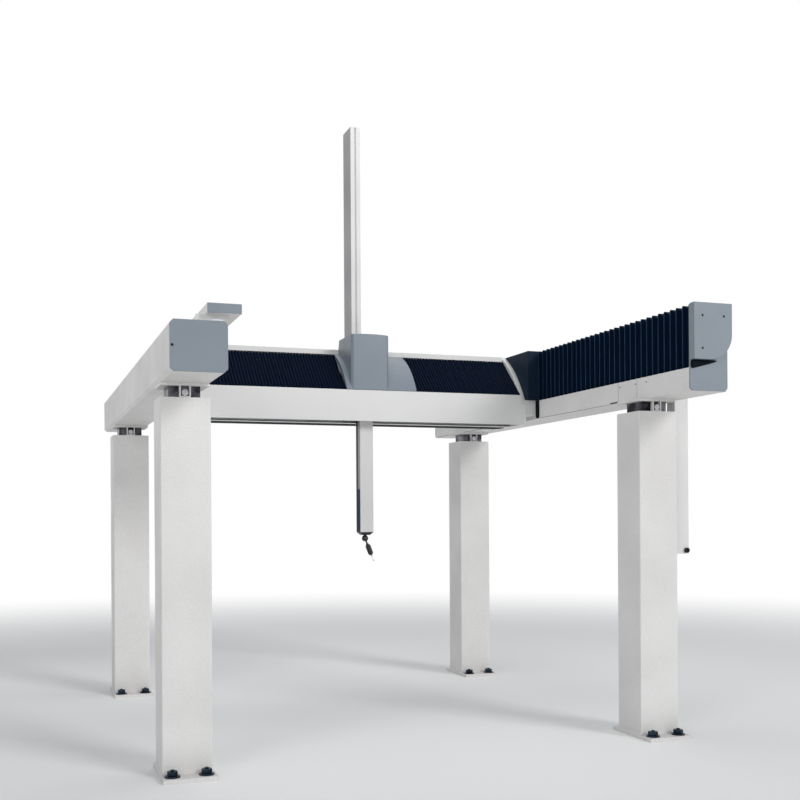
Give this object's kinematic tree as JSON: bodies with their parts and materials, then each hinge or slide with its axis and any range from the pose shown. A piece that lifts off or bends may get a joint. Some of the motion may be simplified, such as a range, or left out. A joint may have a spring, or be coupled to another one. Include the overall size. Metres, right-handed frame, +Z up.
{
  "type": "gantry coordinate measuring machine",
  "caption": "Raised-beam gantry measuring machine: a pleated-guarded bridge on tall pillars carries a carriage with a vertical ram and a tilting touch probe.",
  "frame": {"origin": "on the floor, under the middle of the machine's footprint", "axes": "+X across the bay towards the main beam with the pleated guard, +Y along the beams away from the carriage's tower side, +Z up"},
  "size_m": [3.704, 4.614, 4.729],
  "materials": {
    "light_paint": "fine textured light warm-grey paint",
    "panel_paint": "smooth satin light-grey paint",
    "blue_grey_paint": "satin blue-grey paint",
    "dark_grey_paint": "satin dark grey paint",
    "black_paint": "matt black coating",
    "bellows_fabric": "coated black cloth with a soft sheen",
    "ground_steel": "ground bearing surface",
    "zinc_steel": "dull zinc plated",
    "bare_aluminium": "fine machined",
    "grey_moulding": "matt blue-grey moulding",
    "black_plastic": "matt black",
    "rubber_tread": "dull tread",
    "anodised_black": "black anodised",
    "ruby": "polished ruby"
  },
  "bodies": {
    "frame": {"left_pillars": "light_paint", "right_pillars": "light_paint", "floor_anchors": "zinc_steel", "levelling_wedges": "dark_grey_paint", "jack_brackets": "panel_paint", "jack_screws": "black_paint", "beam_seat_plates": "bare_aluminium", "left_beam": "light_paint", "right_beam": "light_paint", "beam_end_caps": "blue_grey_paint", "guard_end_caps": "blue_grey_paint", "cap_screws": "zinc_steel", "beam_guide_strips": "ground_steel", "y_scale": "ground_steel", "left_guide_roof": "panel_paint", "roof_end_caps": "blue_grey_paint", "roof_brackets": "black_paint", "service_duct": "light_paint", "duct_gland": "black_plastic", "y_bellows_front": "bellows_fabric", "y_bellows_rear": "bellows_fabric"},
    "bridge": {"bridge_girder": "bare_aluminium", "bridge_end_plates": "blue_grey_paint", "bridge_front_panel": "panel_paint", "bridge_top_cover": "panel_paint", "bridge_under_cover": "panel_paint", "bridge_left_arm": "bare_aluminium", "bridge_saddle": "bare_aluminium", "saddle_cover": "dark_grey_paint", "leg_fairing": "panel_paint", "bridge_air_pads": "bare_aluminium", "girder_guide_strips": "ground_steel", "x_scale": "ground_steel", "y_read_head": "anodised_black", "y_drive_motor": "anodised_black", "x_bellows_left": "bellows_fabric", "x_bellows_right": "bellows_fabric"},
    "y_wheel": {"y_drive_wheel": "rubber_tread"},
    "carriage": {"carriage_plate": "bare_aluminium", "ram_guide_rings": "bare_aluminium", "carriage_air_pads": "bare_aluminium", "carriage_cover": "grey_moulding", "column": "panel_paint", "counterbalance_cylinder": "bare_aluminium", "x_read_head": "anodised_black", "x_drive_motor": "anodised_black", "z_drive_motor": "anodised_black"},
    "x_wheel": {"x_drive_wheel": "rubber_tread"},
    "z_wheel": {"z_drive_wheel": "rubber_tread"},
    "ram": {"ram": "ground_steel", "ram_arm": "bare_aluminium", "ram_drive_strip": "black_plastic", "ram_side_panel": "dark_grey_paint", "counterbalance_piston": "ground_steel", "head_mount": "anodised_black"},
    "head": {"head_ball": "anodised_black"},
    "probe": {"tilt_hub": "anodised_black", "probe_body": "anodised_black"},
    "stylus": {"stylus": "zinc_steel", "stylus_tip": "ruby"}
  },
  "joints": [
    {"name": "bridge_travel", "type": "slide", "parent": "frame", "child": "bridge", "axis": [0, 1, 0], "range_m": [-1.85, 1.4], "deforming": ["y_bellows_front", "y_bellows_rear"]},
    {"name": "y_wheel_spin", "type": "hinge", "parent": "bridge", "child": "y_wheel", "pos_m": [1.4637, -0.056, 2.67], "axis": [0, 0, 1], "continuous": true},
    {"name": "carriage_travel", "type": "slide", "parent": "bridge", "child": "carriage", "axis": [1, 0, 0], "range_m": [-1.02, 0.78], "deforming": ["x_bellows_left", "x_bellows_right"]},
    {"name": "x_wheel_spin", "type": "hinge", "parent": "carriage", "child": "x_wheel", "pos_m": [0.169, 0.1977, 2.36], "axis": [0, 0, 1], "continuous": true},
    {"name": "z_wheel_spin", "type": "hinge", "parent": "carriage", "child": "z_wheel", "pos_m": [-0.0743, 0.14, 2.5025], "axis": [0, 1, 0], "continuous": true},
    {"name": "ram_travel", "type": "slide", "parent": "carriage", "child": "ram", "axis": [0, 0, 1], "range_m": [-0.03, 0.82]},
    {"name": "head_turn", "type": "hinge", "parent": "ram", "child": "head", "pos_m": [0.003, 0.103, 1.361], "axis": [0, 0, 1], "range_deg": [-180, 180]},
    {"name": "head_tilt", "type": "hinge", "parent": "head", "child": "probe", "pos_m": [0.003, 0.103, 1.361], "axis": [0, -1, 0], "range_deg": [-21.4, 73.6]},
    {"name": "stylus_deflect", "type": "hinge", "parent": "probe", "child": "stylus", "pos_m": [0.05627, 0.103, 1.22507], "axis": [0, 1, 0], "range_deg": [-8, 8], "stiffness_Nm_per_rad": 0.5}
  ],
  "couplings": [
    {"joint": "y_wheel_spin", "follows": "bridge_travel", "rad_per_m": -35.714},
    {"joint": "x_wheel_spin", "follows": "carriage_travel", "rad_per_m": 50},
    {"joint": "z_wheel_spin", "follows": "ram_travel", "rad_per_m": -45.455}
  ]
}
